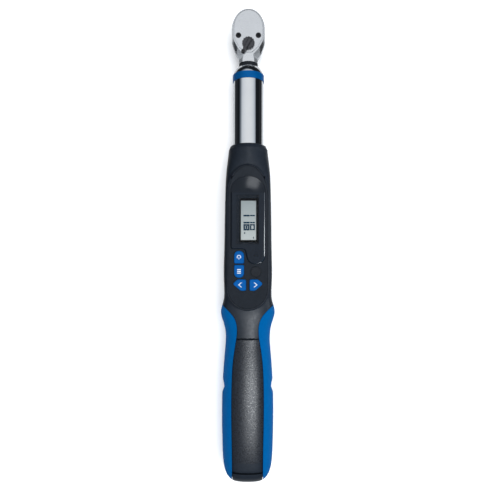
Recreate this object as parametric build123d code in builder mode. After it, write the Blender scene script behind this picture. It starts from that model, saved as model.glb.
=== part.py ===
"""Electronic torque wrench with a 3/8 in. reversible ratchet head.

The drive axis is the Z axis, the head points to +Y and the display faces +Z.
Pieces are drawn with z measured from the tube's axis, and save() lifts each one
so that z = 0 is the shoulder where the square drive leaves the head.
Plane.XZ.offset(s) is the cross-section at a distance s behind the drive axis,
and an extrusion from it runs towards the tail.
"""

import os
from functools import cache
from math import cos, radians, sin

from build123d import *

# ---- Driving dimensions, in millimetres ----

SHOULDER_DROP = 7.3  # drive shoulder below the tube's axis
FIT = 0.15  # gap all round between fixed pieces
RUN = 0.1  # radial clearance of a turning fit

# Head
HEAD_HALF_WIDTH, HEAD_REACH = 14.75, 17.3
HEAD_HALF_THICKNESS = 6.8
NECK_HALF_WIDTH = 8.1
NECK_HALF_THICKNESS = 5.4
NECK_END = 30.6
PLATE_THICKNESS = 1.6
GEAR_RADIUS = 9.3
GEAR_TEETH = 48
GEAR_LOW, GEAR_HIGH = -3.6, 4.5
JOURNAL_RADIUS = 7.5
SQUARE = 9.53
SQUARE_LENGTH = 11.0
LEVER_BACK = 14.6  # selector pivot behind the drive axis
LEVER_ANGLE = 30.0  # lever either side of straight back
SCREW_X, SCREW_BACK = 8.8, 7.4

# Tube and torque beam
TUBE_RADIUS, TUBE_BORE = 13.5, 11.5
NOSE_START, RING_START, TUBE_START = 33.6, 41.0, 47.2
RING_RADIUS = 14.0
TUBE_END = 264.0
SHANK_RADIUS = 7.4
BEAM_END = 121.0
BEAM_PIN_BACK = 114.0
ANCHOR_BACK = 234.0

# Housing and handle: distance behind the drive, half width, top, bottom,
# and how square the upper and the lower half of the section are
STATIONS = [
    (108.0, 17.4, 17.4, 17.4, 2.0, 2.0),
    (116.0, 18.2, 17.7, 18.0, 2.2, 2.1),
    (128.0, 19.5, 18.0, 18.6, 3.2, 2.3),
    (146.0, 20.2, 18.3, 19.0, 4.2, 2.5),
    (172.0, 20.7, 18.4, 19.2, 4.4, 2.5),
    (200.0, 21.1, 18.4, 19.3, 4.4, 2.5),
    (226.0, 21.3, 18.4, 19.4, 4.2, 2.5),
    (242.0, 21.7, 18.4, 19.6, 3.7, 2.5),
    (252.0, 24.0, 18.6, 20.2, 3.0, 2.5),
    (262.0, 21.5, 17.8, 19.0, 2.7, 2.4),
    (273.0, 19.7, 17.2, 18.0, 2.6, 2.3),
    (287.0, 20.4, 17.6, 18.3, 2.6, 2.3),
    (305.0, 21.8, 18.4, 19.0, 2.6, 2.3),
    (328.0, 22.8, 19.0, 19.6, 2.6, 2.3),
    (348.0, 22.9, 19.0, 19.6, 2.6, 2.3),
    (368.0, 22.5, 18.7, 19.2, 2.6, 2.3),
    (384.0, 21.7, 17.7, 18.2, 2.6, 2.3),
    (392.0, 20.2, 16.2, 17.0, 2.6, 2.3),
    (398.0, 17.2, 12.6, 14.2, 2.5, 2.3),
    (401.0, 14.6, 8.4, 11.4, 2.4, 2.2),
]
COLLAR_START = 104.0
TAIL = STATIONS[-1][0]
GRIP_START = 245.0
SHELL_WALL = 2.6
GRIP_DEPTH = 2.4
SEAM = 0.2  # gap at the parting plane of the shells
# Half width of the black spine between the two grips: distance behind the drive, half width
SPINE = [
    (243.5, 24.6),
    (250.0, 16.2),
    (257.0, 10.9),
    (266.0, 9.1),
    (275.0, 9.9),
    (290.0, 12.2),
    (312.0, 13.6),
    (340.0, 13.8),
    (404.0, 13.7),
]
GROOVE = 0.5  # groove between the spine and a grip
SCALLOP_RADIUS, SCALLOP_X, SCALLOP_BACK = 12.0, 32.4, 317.0
NICK_RADIUS = 1.2
# Cross nicks in the grips: distance behind the drive, half width of the handle there
NICKS = [(344.0, 23.0), (361.5, 22.8), (377.5, 22.3)]

# Console on the housing
PANEL_HALF_WIDTH = 17.2
PANEL_START, PANEL_END = 124.8, 247.6
PANEL_ARCH = 27.0
PANEL_TOP, PANEL_THICKNESS = 20.2, 1.6
RIM = 1.6
BEZEL_HALF_WIDTH, BEZEL_START, BEZEL_ARCH = 14.7, 133.9, 12.4
BEZEL_LEFT_END, BEZEL_RIGHT_END = 196.2, 208.9
BEZEL_TOP, BEZEL_EDGE = 21.1, 1.4  # height, and radius of the rounded edge
INDICATOR_END, DOME_RADIUS = 148.0, 110.0
WINDOW_X, WINDOW_BACK = -0.3, 170.95
WINDOW_WIDTH, WINDOW_LENGTH = 19.1, 42.0
LCD_X, LCD_BACK = 0.5, 171.6
LCD_WIDTH, LCD_LENGTH = 13.2, 33.8
LCD_FRAME_WIDTH, LCD_FRAME_LENGTH = 15.0, 37.4
BUZZER_X, BUZZER_BACK, BUZZER_RADIUS = 7.0, 201.0, 4.7
PORT_X, PORT_BACK, PORT_RADIUS = 6.9, 215.6, 4.5
JACK_RADIUS = 1.3
KEY_X, KEY_WIDTH = -7.5, 8.3
POWER_START, POWER_END = 197.9, 208.5
UNIT_START, UNIT_END = 209.8, 220.6
ARROW_BACK, ARROW_INNER, ARROW_OUTER = 226.9, 1.5, 13.0
ARROW_HALF_HEIGHT = 4.7
KEY_TOP, KEY_FLANGE_LOW, KEY_FLANGE_HIGH = 21.3, 17.2, 18.3
BOARD_LOW, BOARD_HIGH = 14.1, 15.1

# Handle contents
DOOR_START, DOOR_END = 273.5, 380.4
DOOR_BAR_BACK, DOOR_BAR_HEIGHT = DOOR_START + 1.25, 15.87
DOOR_BAR_RADIUS, DOOR_BAR_HALF_LENGTH = 0.85, 6.0
TRAY_START, TRAY_END, TRAY_HALF_WIDTH = 278.0, 375.8, 12.2
CELL_RADIUS, CELL_LENGTH = 5.1, 44.5
CELL_X, CELL_Z = 5.6, 8.6
TRAY_FLOOR, TRAY_TOP = 2.0, 11.4
CAP_START = 390.5


def save(piece, name):
    """Lifts a finished piece to the part's frame and writes it."""
    piece = piece.moved(Location((0, 0, SHOULDER_DROP)))
    piece.label = name
    export_step(piece, f"parts/{name}.step")


def at(x, s, z=0.0):
    """A point at distance s behind the drive axis."""
    return (x, -s, z)


def level(z):
    """The horizontal plane at height z."""
    return Plane.XY.offset(z)


# ---- Outlines and bodies that several pieces share ----


def head_outline(inset, corners, bends):
    """Half an ellipse in front, then sides that taper through filleted corners to the tail."""
    side, reach = HEAD_HALF_WIDTH - inset, HEAD_REACH - inset
    with BuildSketch() as outline:
        with BuildLine():
            EllipticalCenterArc((0, 0), side, reach, 0, arc_size=90)
            FilletPolyline((side, 0), *corners, radius=bends)
            Polyline(corners[-1], (0, corners[-1][1]), (0, reach))
        make_face()
        mirror(about=Plane.YZ)
    return outline.sketch


def quarter(half_width, height, power):
    """One quarter of a superellipse in the current plane, as a single curve."""
    pull = (8 * 2 ** (-1 / power) - 4) / 3
    Bezier((half_width, 0), (half_width, pull * height), (pull * half_width, height), (0, height))


@cache
def handle_body(inset):
    """The smooth body of the housing and handle, drawn in by the inset."""
    with BuildPart() as body:
        for s, half_width, top, bottom, top_power, bottom_power in STATIONS:
            width, top, bottom = half_width - inset, top - inset, bottom - inset
            with BuildSketch(Plane.XZ.offset(s)):
                with BuildLine():
                    quarter(width, top, top_power)
                    quarter(-width, top, top_power)
                    quarter(-width, -bottom, bottom_power)
                    quarter(width, -bottom, bottom_power)
                make_face()
        loft()
    return body.part


def slab(start, end, half_width=40.0, low=-40.0, high=40.0):
    """A block between two distances behind the drive axis."""
    with BuildPart() as block:
        with Locations(at(0, (start + end) / 2, (low + high) / 2)):
            Box(2 * half_width, end - start, high - low)
    return block.part


def spine_region(margin):
    """A tall block over the black part of the handle, narrowed or widened by a margin."""
    right = [(half_width + margin, -s) for s, half_width in SPINE]
    with BuildPart() as region:
        with BuildSketch(level(-40)):
            with BuildLine():
                edge = Spline(*right)
                Line(edge @ 1, (0, -SPINE[-1][0]))
                Line((0, -SPINE[-1][0]), (0, -100))
                Line((0, -100), (right[0][0], -100))
                Line((right[0][0], -100), edge @ 0)
            make_face()
            mirror(about=Plane.YZ)
        extrude(amount=80)
    return region.part


def pill(half_width, start, end, arch):
    """The console's outline: an elliptical arch in front and a round end behind."""
    with BuildSketch() as outline:
        with BuildLine():
            Line((half_width, -start - arch), (half_width, -end + half_width))
            CenterArc((0, -end + half_width), half_width, 180, 180)
            Line((-half_width, -end + half_width), (-half_width, -start - arch))
            EllipticalCenterArc((0, -start - arch), half_width, arch, 0, arc_size=180)
        make_face()
    return outline.sketch


def bezel_outline(margin=0.0):
    """Arch in front; behind, a short left side, a slanting step and a longer right side."""
    w = BEZEL_HALF_WIDTH + margin
    left, right = BEZEL_LEFT_END + margin, BEZEL_RIGHT_END + margin
    start = BEZEL_START - margin
    arch = BEZEL_ARCH
    with BuildSketch() as outline:
        with BuildLine():
            EllipticalCenterArc((0, -start - arch), w, arch, 0, arc_size=180)
            FilletPolyline(
                (-w, -start - arch),
                (-w, -left),
                (-2.6 - margin, -left),
                (0.2 - margin, -right),
                (w, -right),
                (w, -start - arch),
                radius=(2.0, 3.0, 6.8, 7.0),
            )
        make_face()
    return outline.sketch


def power_key(margin=0.0):
    """Rounded in front and flat behind."""
    half = KEY_WIDTH / 2 + margin
    with BuildSketch() as outline:
        with BuildLine():
            FilletPolyline(
                (KEY_X - half, -POWER_START + margin),
                (KEY_X - half, -POWER_END - margin),
                (KEY_X + half, -POWER_END - margin),
                (KEY_X + half, -POWER_START + margin),
                close=True,
                radius=(half - 0.3, 1.2, 1.2, half - 0.3),
            )
        make_face()
    return outline.sketch


def unit_key(margin=0.0):
    """Flat in front and rounded behind."""
    half = KEY_WIDTH / 2 + margin
    with BuildSketch() as outline:
        with BuildLine():
            FilletPolyline(
                (KEY_X + half, -UNIT_END - margin),
                (KEY_X + half, -UNIT_START + margin),
                (KEY_X - half, -UNIT_START + margin),
                (KEY_X - half, -UNIT_END - margin),
                close=True,
                radius=(half - 0.3, 1.2, 1.2, half - 0.3),
            )
        make_face()
    return outline.sketch


def arrow_key(side, margin=0.0):
    """A leaf: flat towards the middle and pointed outwards."""
    inner, outer = ARROW_INNER - margin, ARROW_OUTER + margin
    half = ARROW_HALF_HEIGHT + margin
    front, back = -ARROW_BACK + half, -ARROW_BACK - half
    tip = -ARROW_BACK + 1.0
    with BuildSketch() as outline:
        with BuildLine():
            FilletPolyline(
                (side * inner, front),
                (side * (inner + 7.2), front + 0.2),
                (side * outer, tip),
                (side * (inner + 4.6), back - 0.2),
                (side * inner, back),
                close=True,
                radius=(1.4, 3.2, 1.6, 3.4, 1.4),
            )
        make_face()
    return outline.sketch


KEYS = {
    "key_power": power_key,
    "key_unit": unit_key,
    "key_down": lambda margin=0.0: arrow_key(-1, margin),
    "key_up": lambda margin=0.0: arrow_key(1, margin),
}


def coil(radius, wire, length, turns):
    """A compression spring standing on z = 0."""
    with BuildPart() as spring:
        with BuildLine():
            Helix(pitch=length / turns, height=length, radius=radius)
        with BuildSketch(Plane.XZ):
            with Locations((radius, 0)):
                Circle(wire)
        sweep(is_frenet=True)
    return spring.part


# ---- Ratchet head ----


def pawl_sector(inner, outer, half_angle):
    """A ring sector about the drive axis, centred straight behind it."""
    with BuildSketch() as sector:
        Circle(outer)
        Circle(inner, mode=Mode.SUBTRACT)
        with BuildLine(mode=Mode.PRIVATE) as wedge:
            reach = 2 * outer
            x, y = reach * sin(radians(half_angle)), -reach * cos(radians(half_angle))
            Polyline((0, 0), (-x, y), (x, y), close=True)
        add(make_face(wedge.line.edges(), mode=Mode.PRIVATE), mode=Mode.INTERSECT)
    return sector.sketch


def make_ratchet_head():
    """Forged head, neck and torque beam in one piece, hollow for the gear and the pawl."""
    with BuildPart() as head:
        neck = NECK_HALF_WIDTH
        corners = [(HEAD_HALF_WIDTH, -12.0), (10.9, -22.8), (neck, -26.8), (neck, -NECK_END)]
        middle = (0.0, corners, (12.0, 6.0, 3.0))
        inset, ridge = 1.1, 3.7
        corners = [(HEAD_HALF_WIDTH - inset, -10.5), (9.2, -18.6), (ridge, -24.6), (ridge, -NECK_END)]
        face = (inset, corners, (11.0, 5.0, 3.0))
        for side in (1, -1):
            with BuildSketch(level(side * 2.6)):
                add(head_outline(*middle))
            with BuildSketch(level(side * HEAD_HALF_THICKNESS)):
                add(head_outline(*face))
            loft(ruled=True)
        with BuildSketch(level(-2.6)):
            add(head_outline(*middle))
        extrude(amount=5.2)
        with BuildSketch(Plane.YZ) as side_view:
            with BuildLine():
                FilletPolyline(
                    (-NECK_END, 0),
                    (-NECK_END, NECK_HALF_THICKNESS),
                    (3.0 - NECK_END, NECK_HALF_THICKNESS),
                    (6.8 - NECK_END, HEAD_HALF_THICKNESS),
                    (HEAD_REACH + 1, HEAD_HALF_THICKNESS),
                    (HEAD_REACH + 1, 0),
                    radius=(0.5, 4.0, 3.0, 0.5),
                )
                Line((HEAD_REACH + 1, 0), (-NECK_END, 0))
            make_face()
            mirror(about=Plane.XZ)
        extrude(amount=20, both=True, mode=Mode.INTERSECT)
        rims = head.faces().filter_by(Axis.Z).group_by(Axis.Z)
        fillet([rims[-1].edges().sort_by(Axis.Y)[-1], rims[0].edges().sort_by(Axis.Y)[-1]], 0.5)
        # Beam: round shank, gauge flats, and a round end that fills the tube's bore
        with BuildSketch(Plane.XZ.offset(NECK_END - 0.2)):
            Circle(SHANK_RADIUS)
        extrude(amount=BEAM_END - NECK_END + 0.2)
        with BuildSketch(Plane.XZ.offset(104.0)):
            Circle(TUBE_BORE - 0.05)
        extrude(amount=BEAM_END - 104.0)
        for side in (1, -1):
            with Locations(at(0, 78, side * (4.6 + 4.0))):
                Box(40, 26, 8, mode=Mode.SUBTRACT)
        with Locations(Location(at(0, BEAM_PIN_BACK), (0, 90, 0))):
            Cylinder(2.5, 60, mode=Mode.SUBTRACT)
        # Pocket for gear and pawl, seat for the plate, and the drive hole
        with BuildSketch(level(GEAR_LOW - 0.2)):
            Circle(GEAR_RADIUS + 0.3)
            add(pawl_sector(GEAR_RADIUS, 13.7, 39))
            with Locations((0, -LEVER_BACK)):
                Circle(4.9)
        extrude(amount=12, mode=Mode.SUBTRACT)
        with BuildSketch(level(HEAD_HALF_THICKNESS - PLATE_THICKNESS)):
            add(plate_outline(FIT))
        extrude(amount=5, mode=Mode.SUBTRACT)
        with Locations((0, 0, -5)):
            Cylinder(JOURNAL_RADIUS + RUN, 8, mode=Mode.SUBTRACT)
        with Locations(at(0, LEVER_BACK, -4.2)):
            Cylinder(2.6 + RUN, 2.0, mode=Mode.SUBTRACT)
        with Locations(at(SCREW_X, SCREW_BACK, 0), at(-SCREW_X, SCREW_BACK, 0)):
            Cylinder(1.1, 12, mode=Mode.SUBTRACT)
    save(head.part, "ratchet_head")


def plate_outline(margin=0.0):
    """Outline of the cover plate, just inside the head's upper face."""
    inset, tail = 2.1 - margin, -22.4 - margin
    side = HEAD_HALF_WIDTH - inset
    corners = [(side, -9.8), (8.4 + margin, -17.8), (3.0 + margin, tail), (1.0, tail)]
    return head_outline(inset, corners, (10.0, 4.0, 2.0))


def make_cover_plate():
    with BuildPart() as plate:
        with BuildSketch(level(HEAD_HALF_THICKNESS - PLATE_THICKNESS)):
            add(plate_outline())
        extrude(amount=PLATE_THICKNESS)
        chamfer(plate.faces().sort_by(Axis.Z)[-1].edges(), 0.25)
        with Locations(at(0, LEVER_BACK, HEAD_HALF_THICKNESS)):
            Hole(2.6 + RUN)
        with Locations(
            at(SCREW_X, SCREW_BACK, HEAD_HALF_THICKNESS),
            at(-SCREW_X, SCREW_BACK, HEAD_HALF_THICKNESS),
        ):
            CounterSinkHole(1.45, 2.5)
    save(plate.part, "cover_plate")


def make_cover_screws():
    """Two countersunk screws with six-lobed sockets."""
    top = HEAD_HALF_THICKNESS - 0.15
    with BuildPart() as screws:
        for x in (SCREW_X, -SCREW_X):
            with Locations(at(x, SCREW_BACK, top - 0.55)):
                Cone(1.05, 2.3, 1.1)
            with Locations(at(x, SCREW_BACK, top - 4.7)):
                Cylinder(1.05, 7.4)
            with BuildSketch(Plane(at(x, SCREW_BACK, top))):
                Circle(0.95)
                with PolarLocations(1.0, 6):
                    Circle(0.3)
            extrude(amount=-0.9, mode=Mode.SUBTRACT)
    save(screws.part, "cover_screws")


def make_drive_gear():
    """Ratchet gear, journal and square drive in one piece, with the detent ball's hole."""
    pitch = 360 / GEAR_TEETH
    with BuildPart() as drive:
        with BuildSketch(level(GEAR_LOW)):
            Circle(GEAR_RADIUS)
            with PolarLocations(GEAR_RADIUS + 0.1, GEAR_TEETH, start_angle=pitch / 2):
                RegularPolygon(0.62, 4, mode=Mode.SUBTRACT)
        extrude(amount=GEAR_HIGH - GEAR_LOW)
        with BuildSketch(level(-SHOULDER_DROP)):
            Circle(JOURNAL_RADIUS)
        extrude(amount=SHOULDER_DROP + GEAR_LOW)
        with BuildSketch(level(-SHOULDER_DROP)):
            RectangleRounded(SQUARE, SQUARE, 0.7)
        extrude(amount=-SQUARE_LENGTH)
        chamfer(drive.faces().sort_by(Axis.Z)[0].edges(), 0.6)
        with Locations(Location((2.0, 0, -SHOULDER_DROP - 6.0), (0, 90, 0))):
            Cylinder(1.55, 7.0, mode=Mode.SUBTRACT)
    save(drive.part, "drive_gear")
    with BuildPart() as washer:
        with BuildSketch(level(GEAR_HIGH + 0.1)):
            Circle(7.0)
            Circle(4.0, mode=Mode.SUBTRACT)
        extrude(amount=0.5)
    save(washer.part, "drive_washer")
    with BuildPart() as ball:
        with Locations((SQUARE / 2 - 0.75, 0, -SHOULDER_DROP - 6.0)):
            Sphere(1.45)
    save(ball.part, "detent_ball")
    spring = coil(1.0, 0.16, 3.2, 5).moved(Location((-1.3, 0, -SHOULDER_DROP - 6.0), (0, 90, 0)))
    save(spring, "detent_spring")


def make_pawl():
    """Rocker on the selector's shaft: an arm with teeth on each side, one of them near the gear."""
    rocked = -2.6
    with BuildPart() as pawl:
        with BuildSketch(level(GEAR_LOW + 0.1)):
            add(pawl_sector(GEAR_RADIUS + 0.55, 12.9, 33))
            with PolarLocations(GEAR_RADIUS + 0.45, 8, start_angle=-90 - 28, angular_range=56):
                RegularPolygon(0.55, 4, mode=Mode.SUBTRACT)
            with Locations((0, -LEVER_BACK)):
                Circle(4.1)
            Circle(GEAR_RADIUS + 0.55, mode=Mode.SUBTRACT)
            with Locations((0, -LEVER_BACK)):
                Circle(2.6 + RUN, mode=Mode.SUBTRACT)
        extrude(amount=GEAR_HIGH - GEAR_LOW - 0.3)
    turned = pawl.part.rotate(Axis(at(0, LEVER_BACK), (0, 0, 1)), rocked)
    save(turned, "pawl")


def make_selector():
    """Direction lever: scalloped hub, ridged arm with a round tip, and the shaft through the pawl."""
    hub_low, hub_high = HEAD_HALF_THICKNESS + 0.15, HEAD_HALF_THICKNESS + 2.0
    arm, tip = 9.2, 1.75
    with BuildPart() as lever:
        with BuildSketch(level(hub_low)):
            Circle(5.5)
            with PolarLocations(5.9, 14):
                Circle(0.85, mode=Mode.SUBTRACT)
        extrude(amount=hub_high - hub_low)
        chamfer(lever.faces().sort_by(Axis.Z)[-1].edges(), 0.3)
        with BuildSketch(level(hub_high - 0.6)):
            with BuildLine():
                Polyline((-1.7, 3.6), (1.7, 3.6), (1.25, -arm), (-1.25, -arm), close=True)
            make_face()
            with Locations((0, -arm)):
                Circle(tip)
        extrude(amount=2.2)
        chamfer(lever.faces().sort_by(Axis.Z)[-1].edges(), 0.45)
        with Locations((0, -arm, hub_high + 1.6)):
            Sphere(0.95, mode=Mode.SUBTRACT)
        with BuildSketch(level(GEAR_LOW - 1.0)):
            Circle(2.6)
        extrude(amount=hub_low - GEAR_LOW + 1.0)
        with Locations(Location((0, 1.3, 0.5), (90, 0, 0))):
            Cylinder(0.95, 2.8, mode=Mode.SUBTRACT)
    place = Location(at(0, LEVER_BACK), (0, 0, -LEVER_ANGLE))
    save(lever.part.moved(place), "selector_lever")
    with BuildPart() as ball:
        with Locations((0, 1.7, 0.5)):
            Sphere(0.85)
    save(ball.part.moved(place), "selector_ball")
    spring = coil(0.6, 0.12, 0.7, 3).moved(Location((0, 0.05, 0.5), (-90, 0, 0)))
    save(spring.moved(place), "selector_spring")


# ---- Tube ----


def make_tube_group():
    with BuildPart() as nose:
        with BuildSketch(Plane.XY):
            with BuildLine():
                crown = Bezier(
                    (SHANK_RADIUS + 1.1, -NOSE_START),
                    (TUBE_RADIUS - 3.6, -NOSE_START - 0.7),
                    (TUBE_RADIUS - 0.7, -NOSE_START - 3.8),
                    (TUBE_RADIUS - 0.1, -RING_START),
                )
                Polyline(
                    crown @ 1,
                    (TUBE_BORE - 0.05, -RING_START),
                    (TUBE_BORE - 0.05, -TUBE_START - 6.0),
                    (SHANK_RADIUS + 0.4, -TUBE_START - 6.0),
                    (SHANK_RADIUS + 0.4, -NOSE_START - 0.9),
                    crown @ 0,
                )
            make_face()
            with Locations((SHANK_RADIUS + 0.4, -NOSE_START - 3.6)):
                Rectangle(2.4, 2.2, mode=Mode.SUBTRACT)
        revolve(axis=Axis.Y)
    save(nose.part, "nose_cone")
    with BuildPart() as seal:
        with BuildSketch(Plane.XY):
            with BuildLine():
                Polyline(
                    (SHANK_RADIUS + 0.05, -NECK_END - 0.1),
                    (SHANK_RADIUS + 1.0, -NECK_END - 0.1),
                    (SHANK_RADIUS + 1.0, -NOSE_START + 0.05),
                    (SHANK_RADIUS + 0.35, -NOSE_START + 0.05),
                    (SHANK_RADIUS + 0.35, -NOSE_START - 3.6),
                    (SHANK_RADIUS + 0.05, -NOSE_START - 3.6),
                    close=True,
                )
            make_face()
            with Locations((SHANK_RADIUS + 0.75, -NOSE_START - 3.6)):
                Circle(0.7)
        revolve(axis=Axis.Y)
    save(seal.part, "neck_seal")
    with BuildPart() as ring:
        with BuildSketch(Plane.XZ.offset(RING_START + 0.05)):
            Circle(RING_RADIUS)
            Circle(TUBE_BORE, mode=Mode.SUBTRACT)
        extrude(amount=TUBE_START - RING_START - 0.1)
        fillet(ring.edges().filter_by(GeomType.CIRCLE).group_by(SortBy.RADIUS)[-1], 0.35)
    save(ring.part, "colour_ring")
    with BuildPart() as tube:
        with BuildSketch(Plane.XZ.offset(TUBE_START)):
            Circle(TUBE_RADIUS)
            Circle(TUBE_BORE, mode=Mode.SUBTRACT)
        extrude(amount=TUBE_END - TUBE_START)
        with Locations(*[Location(at(0, s), (0, 90, 0)) for s in (BEAM_PIN_BACK, ANCHOR_BACK)]):
            Cylinder(2.5, 60, mode=Mode.SUBTRACT)
    save(tube.part, "tube")
    for name, s, half_length in (
        ("beam_pin", BEAM_PIN_BACK, TUBE_RADIUS),
        ("anchor_pin", ANCHOR_BACK, TUBE_RADIUS + 4.0),
    ):
        with BuildPart() as pin:
            with Locations(Location(at(0, s), (0, 90, 0))):
                Cylinder(2.5, 2 * half_length)
            chamfer(pin.edges(), 0.3)
        save(pin.part, name)
    with BuildPart() as plug:
        with BuildSketch(Plane.XZ.offset(TUBE_END - 6)):
            Circle(TUBE_BORE - 0.05)
        extrude(amount=6)
        with BuildSketch(Plane.XZ.offset(TUBE_END)):
            Circle(TUBE_RADIUS)
        extrude(amount=1.5)
        with Locations(at(0, TUBE_END)):
            Box(6, 40, 4, mode=Mode.SUBTRACT)
    save(plug.part, "tube_plug")
    with BuildPart() as gauges:
        for side in (1, -1):
            for s in (73.0, 83.0):
                with Locations(at(0, s, side * (4.6 + 0.11))):
                    Box(4.4, 6.4, 0.2)
    save(gauges.part, "strain_gauges")


# ---- Housing and handle ----

BOSSES = [(x, s) for s in (132.0, 186.0, 240.5) for x in (-16.2, 16.2)]
TAIL_BOSSES = [(-8.0, 383.5), (8.0, 383.5)]
# Cross walls: distance behind the drive, half length, and how far inside the skin they stop
RIBS = [(150.0, 1.2, 1.0), (205.0, 1.2, 1.0), (ANCHOR_BACK, 4.5, 1.0), (255.0, 1.2, GRIP_DEPTH + 0.6)]
SEAT, TAIL_SEAT, SCREW_REACH = -6.5, -11.0, 13.6  # screw seats and depth of the holes


@cache
def black_body():
    """The black body before it is parted: skin, console island, walls and pillars."""
    with BuildPart() as black:
        add(handle_body(0.0))
        add(spine_region(-GROOVE / 2), mode=Mode.INTERSECT)
        add(handle_body(GRIP_DEPTH))
        with BuildSketch(Plane.XY):
            with BuildLine():
                Polyline(
                    (0, -COLLAR_START),
                    (TUBE_RADIUS + 0.7, -COLLAR_START),
                    (TUBE_RADIUS + 2.4, -COLLAR_START - 0.9),
                    (STATIONS[0][1] - 0.1, -STATIONS[0][0]),
                    (STATIONS[0][1] - 0.1, -STATIONS[0][0] - 2),
                    (0, -STATIONS[0][0] - 2),
                    close=True,
                )
            make_face()
        revolve(axis=Axis.Y)
        # Console: a raised island with a chamfered rim
        with BuildSketch(level(8)):
            add(pill(PANEL_HALF_WIDTH + RIM, PANEL_START - RIM, PANEL_END + RIM, PANEL_ARCH))
        extrude(amount=PANEL_TOP - 8)
        chamfer(black.faces().sort_by(Axis.Z)[-1].edges(), 1.2)
        # Inside
        add(cavity(SHELL_WALL, 112.0, 243.0, 16.8), mode=Mode.SUBTRACT)
        add(cavity(GRIP_DEPTH + 2.4, 243.0, CAP_START - 2.0), mode=Mode.SUBTRACT)
        for s, half_length, inset in RIBS:
            add(rib(s, half_length, inset))
        add(bosses(BOSSES, 2.3, 1.0))
        add(bosses(TAIL_BOSSES, 3.0, GRIP_DEPTH + 0.6))
        add(battery_bay_walls())
        with Locations(Location(at(0, CAP_START - 3.5), (90, 0, 0))):
            Cylinder(3.5, 7.0)
    return black.part


def make_shell(name, low, high):
    """One shell: the black body on one side of the parting plane, with its openings."""
    with BuildPart() as shell:
        add(black_body())
        add(slab(90, 420, low=low, high=high), mode=Mode.INTERSECT)
        with BuildSketch(Plane.XZ.offset(COLLAR_START - 1)):
            Circle(TUBE_RADIUS + FIT)
        extrude(amount=TUBE_END + 2.8 - COLLAR_START, mode=Mode.SUBTRACT)
        # Seat and opening under the control panel
        with BuildSketch(level(PANEL_TOP - PANEL_THICKNESS)):
            add(pill(PANEL_HALF_WIDTH + FIT, PANEL_START - FIT, PANEL_END + FIT, PANEL_ARCH))
        extrude(amount=10, mode=Mode.SUBTRACT)
        add(slab(134.0, 239.0, 14.4, BOARD_LOW - 0.6, 30), mode=Mode.SUBTRACT)
        # Cross pin, battery bay, door seat, thumb recess and tail cap
        with Locations(Location(at(0, ANCHOR_BACK), (0, 90, 0))):
            Cylinder(2.5, 2 * (TUBE_RADIUS + 4.2), mode=Mode.SUBTRACT)
        add(door_blank(0.5), mode=Mode.SUBTRACT)
        tray = TRAY_HALF_WIDTH + FIT
        floor = TRAY_FLOOR - FIT
        add(slab(TRAY_START - FIT, TRAY_END + FIT, tray, floor), mode=Mode.SUBTRACT)
        add(recess_blank(), mode=Mode.SUBTRACT)
        add(slab(CAP_START, 410), mode=Mode.SUBTRACT)
        with Locations(Location(at(0, CAP_START - 4), (90, 0, 0))):
            Cylinder(1.5, 14.0, mode=Mode.SUBTRACT)
        for spots, seat in ((BOSSES, SEAT), (TAIL_BOSSES, TAIL_SEAT)):
            with Locations(*[at(x, s, seat + SCREW_REACH / 2) for x, s in spots]):
                Cylinder(1.0, SCREW_REACH, mode=Mode.SUBTRACT)
            with Locations(*[at(x, s, seat - 10) for x, s in spots]):
                Cylinder(2.0, 20, mode=Mode.SUBTRACT)
    save(keep_largest(shell.part), name)


def keep_largest(part):
    """Drops loose crumbs that trimming leaves."""
    return part.solids().sort_by(SortBy.VOLUME)[-1]


def cavity(inset, start, end, high=40.0):
    with BuildPart() as hollow:
        add(handle_body(inset))
        add(slab(start, end, high=high), mode=Mode.INTERSECT)
    return hollow.part


def rib(s, half_length, inset):
    """A cradle for the tube, below the circuit board."""
    with BuildPart() as bulkhead:
        add(handle_body(inset))
        add(slab(s - half_length, s + half_length, high=12.8), mode=Mode.INTERSECT)
    return bulkhead.part


def bosses(spots, radius, inset):
    """Screw pillars between the shells, trimmed inside the skin."""
    with BuildPart() as pillars:
        with Locations(*[at(x, s, -3.0) for x, s in spots]):
            Cylinder(radius, 26)
        add(handle_body(inset), mode=Mode.INTERSECT)
    return pillars.part


def battery_bay_walls():
    """A trough in the front shell that the battery tray drops into."""
    with BuildPart() as trough:
        add(handle_body(GRIP_DEPTH + 0.6))
        wide = TRAY_HALF_WIDTH + 2.0
        add(slab(TRAY_START - 2.0, TRAY_END + 2.0, wide, 0.1, 14.5), mode=Mode.INTERSECT)
    return trough.part


def door_blank(margin):
    """The battery door's space: the skin of the spine between two cross cuts."""
    with BuildPart() as blank:
        add(handle_body(-1.0 if margin else 0.0))
        add(handle_body(GRIP_DEPTH - 0.1), mode=Mode.SUBTRACT)
        add(spine_region(margin - GROOVE / 2), mode=Mode.INTERSECT)
        add(slab(DOOR_START - margin, DOOR_END + margin, low=4), mode=Mode.INTERSECT)
    return blank.part


def recess_blank():
    """Shallow recess behind the door, for a thumbnail."""
    with BuildPart() as blank:
        add(handle_body(-1.0))
        add(handle_body(GRIP_DEPTH - 0.2), mode=Mode.SUBTRACT)
        add(spine_region(0.5), mode=Mode.INTERSECT)
        add(slab(DOOR_END, CAP_START + 1, low=4), mode=Mode.INTERSECT)
    return blank.part


def make_battery_door():
    """A curved lid that tilts on a round bar at its front edge."""
    with BuildPart() as door:
        add(door_blank(0.0))
        add(handle_body(GRIP_DEPTH - 0.2), mode=Mode.SUBTRACT)
        add(slab(DOOR_START - 1, DOOR_BAR_BACK, low=4), mode=Mode.SUBTRACT)
        with Locations(Location(at(0, DOOR_BAR_BACK, DOOR_BAR_HEIGHT), (0, 90, 0))):
            Cylinder(DOOR_BAR_RADIUS, 2 * DOOR_BAR_HALF_LENGTH)
    save(keep_largest(door.part), "battery_door")


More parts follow.
